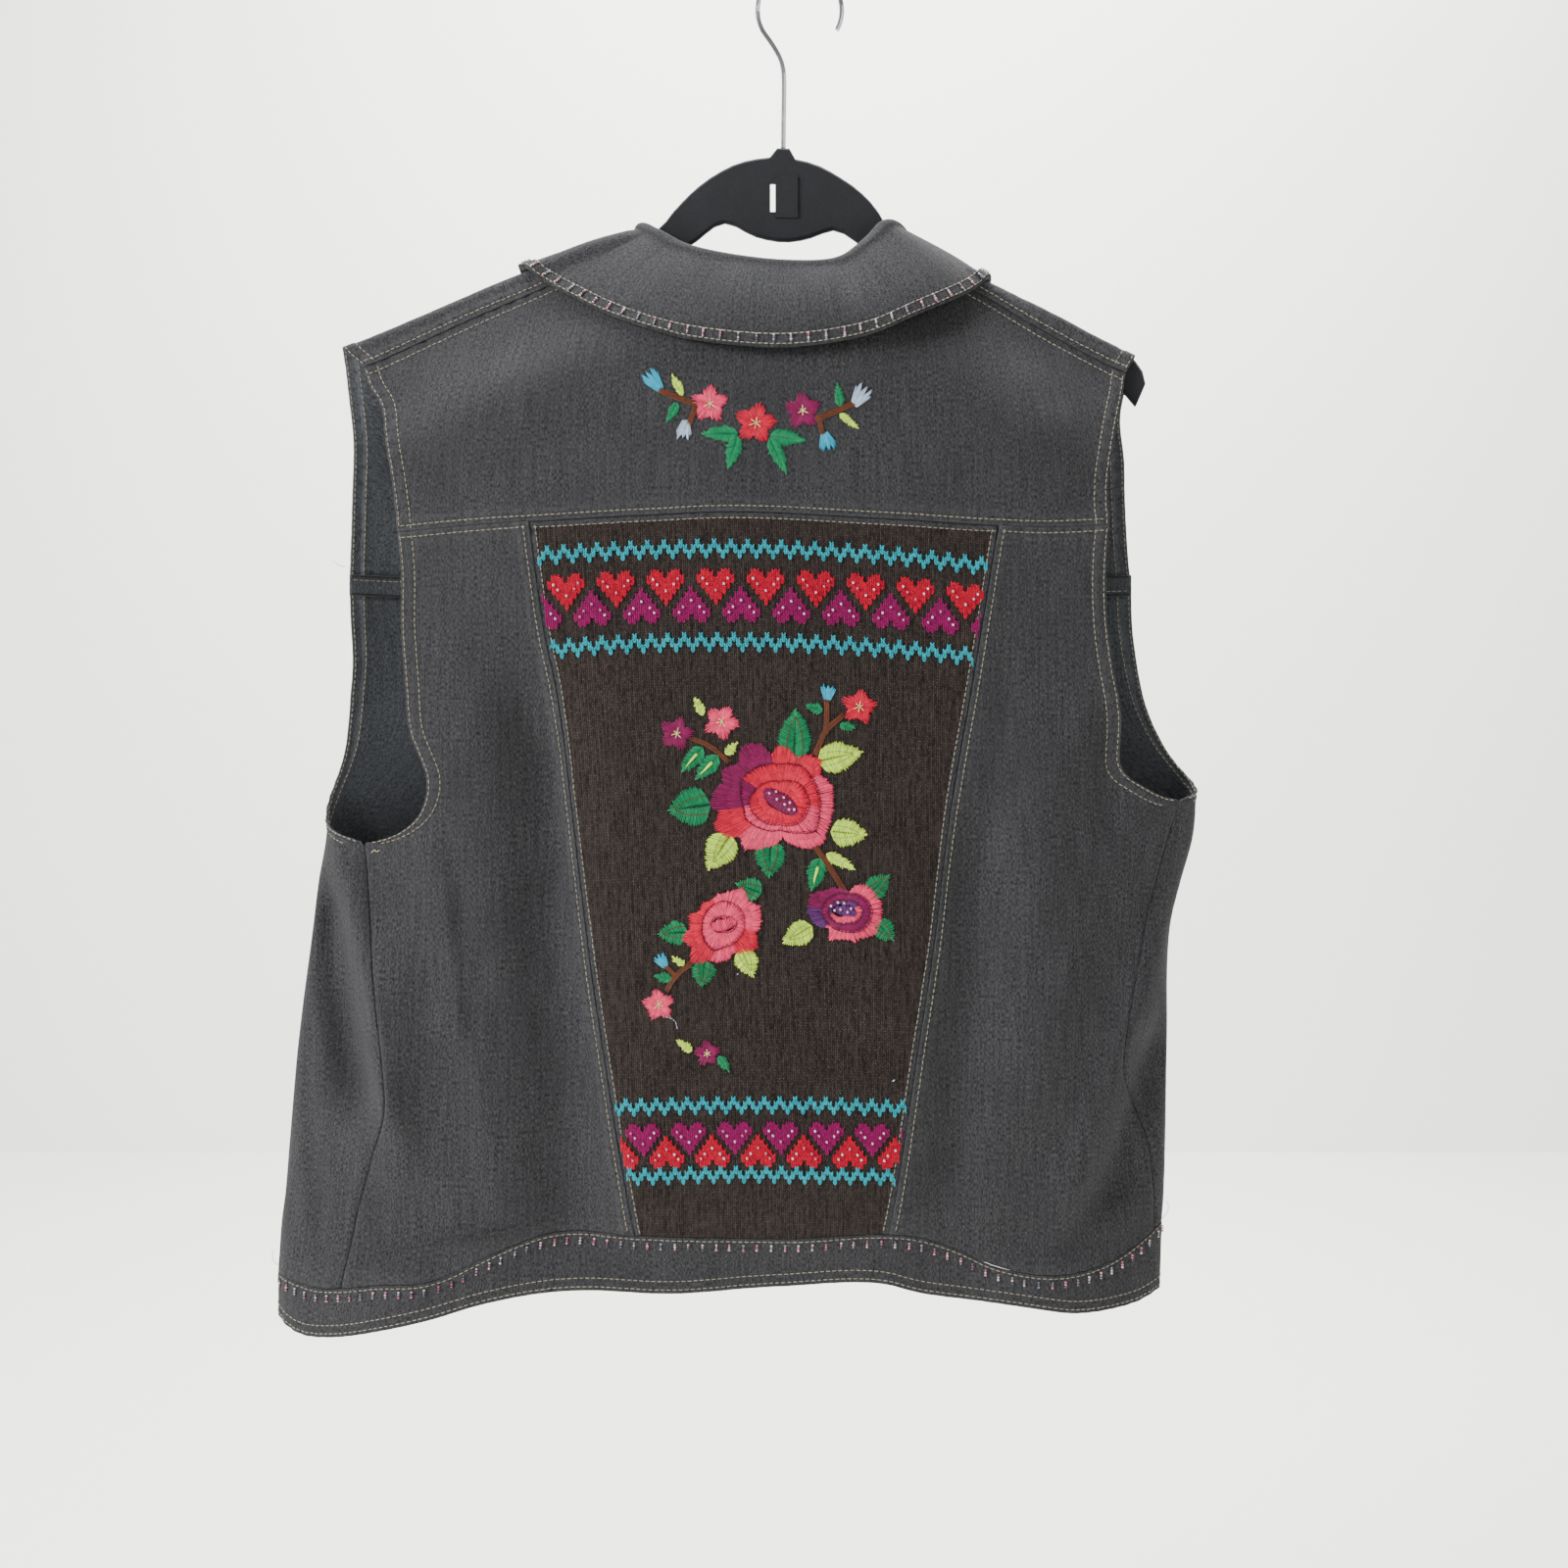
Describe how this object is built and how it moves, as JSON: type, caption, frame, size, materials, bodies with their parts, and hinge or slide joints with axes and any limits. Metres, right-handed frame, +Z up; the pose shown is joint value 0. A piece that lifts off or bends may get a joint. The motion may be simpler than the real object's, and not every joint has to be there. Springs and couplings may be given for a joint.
{
  "type": "denim vest on a hanger",
  "caption": "Sleeveless charcoal denim vest with a wide roll collar, a knitted and embroidered back panel and a beaded waistband, hanging on a slim velvet hanger by its wire hook.",
  "frame": {"origin": "inside top of the hanger's wire hook, where a rail carries the hanger", "axes": "+Z up; the pictured back of the vest faces -Y; +X to the picture's right, along the shoulders"},
  "size_m": [0.5541, 0.1096, 0.8219],
  "materials": {
    "denim_charcoal": "woven, matt",
    "knit_marl": "knitted, matt",
    "button_metal": "dulled",
    "velvet_black": "flocked, matt",
    "hook_chrome": "polished"
  },
  "bodies": {
    "root": {"back_center_knit": "knit_marl", "back_side_left": "denim_charcoal", "back_side_right": "denim_charcoal", "back_yoke": "denim_charcoal", "button_1": "button_metal", "button_2": "button_metal", "button_3": "button_metal", "button_4": "button_metal", "button_5": "button_metal", "button_6": "button_metal", "collar": "denim_charcoal", "collar_trim": "denim_charcoal", "front_center_left": "denim_charcoal", "front_center_right": "denim_charcoal", "front_placket": "denim_charcoal", "front_side_left": "denim_charcoal", "front_side_right": "denim_charcoal", "front_yoke_left": "denim_charcoal", "front_yoke_right": "denim_charcoal", "hanger_body": "velvet_black", "hanger_hook": "hook_chrome", "waistband": "denim_charcoal"}
  },
  "joints": []
}
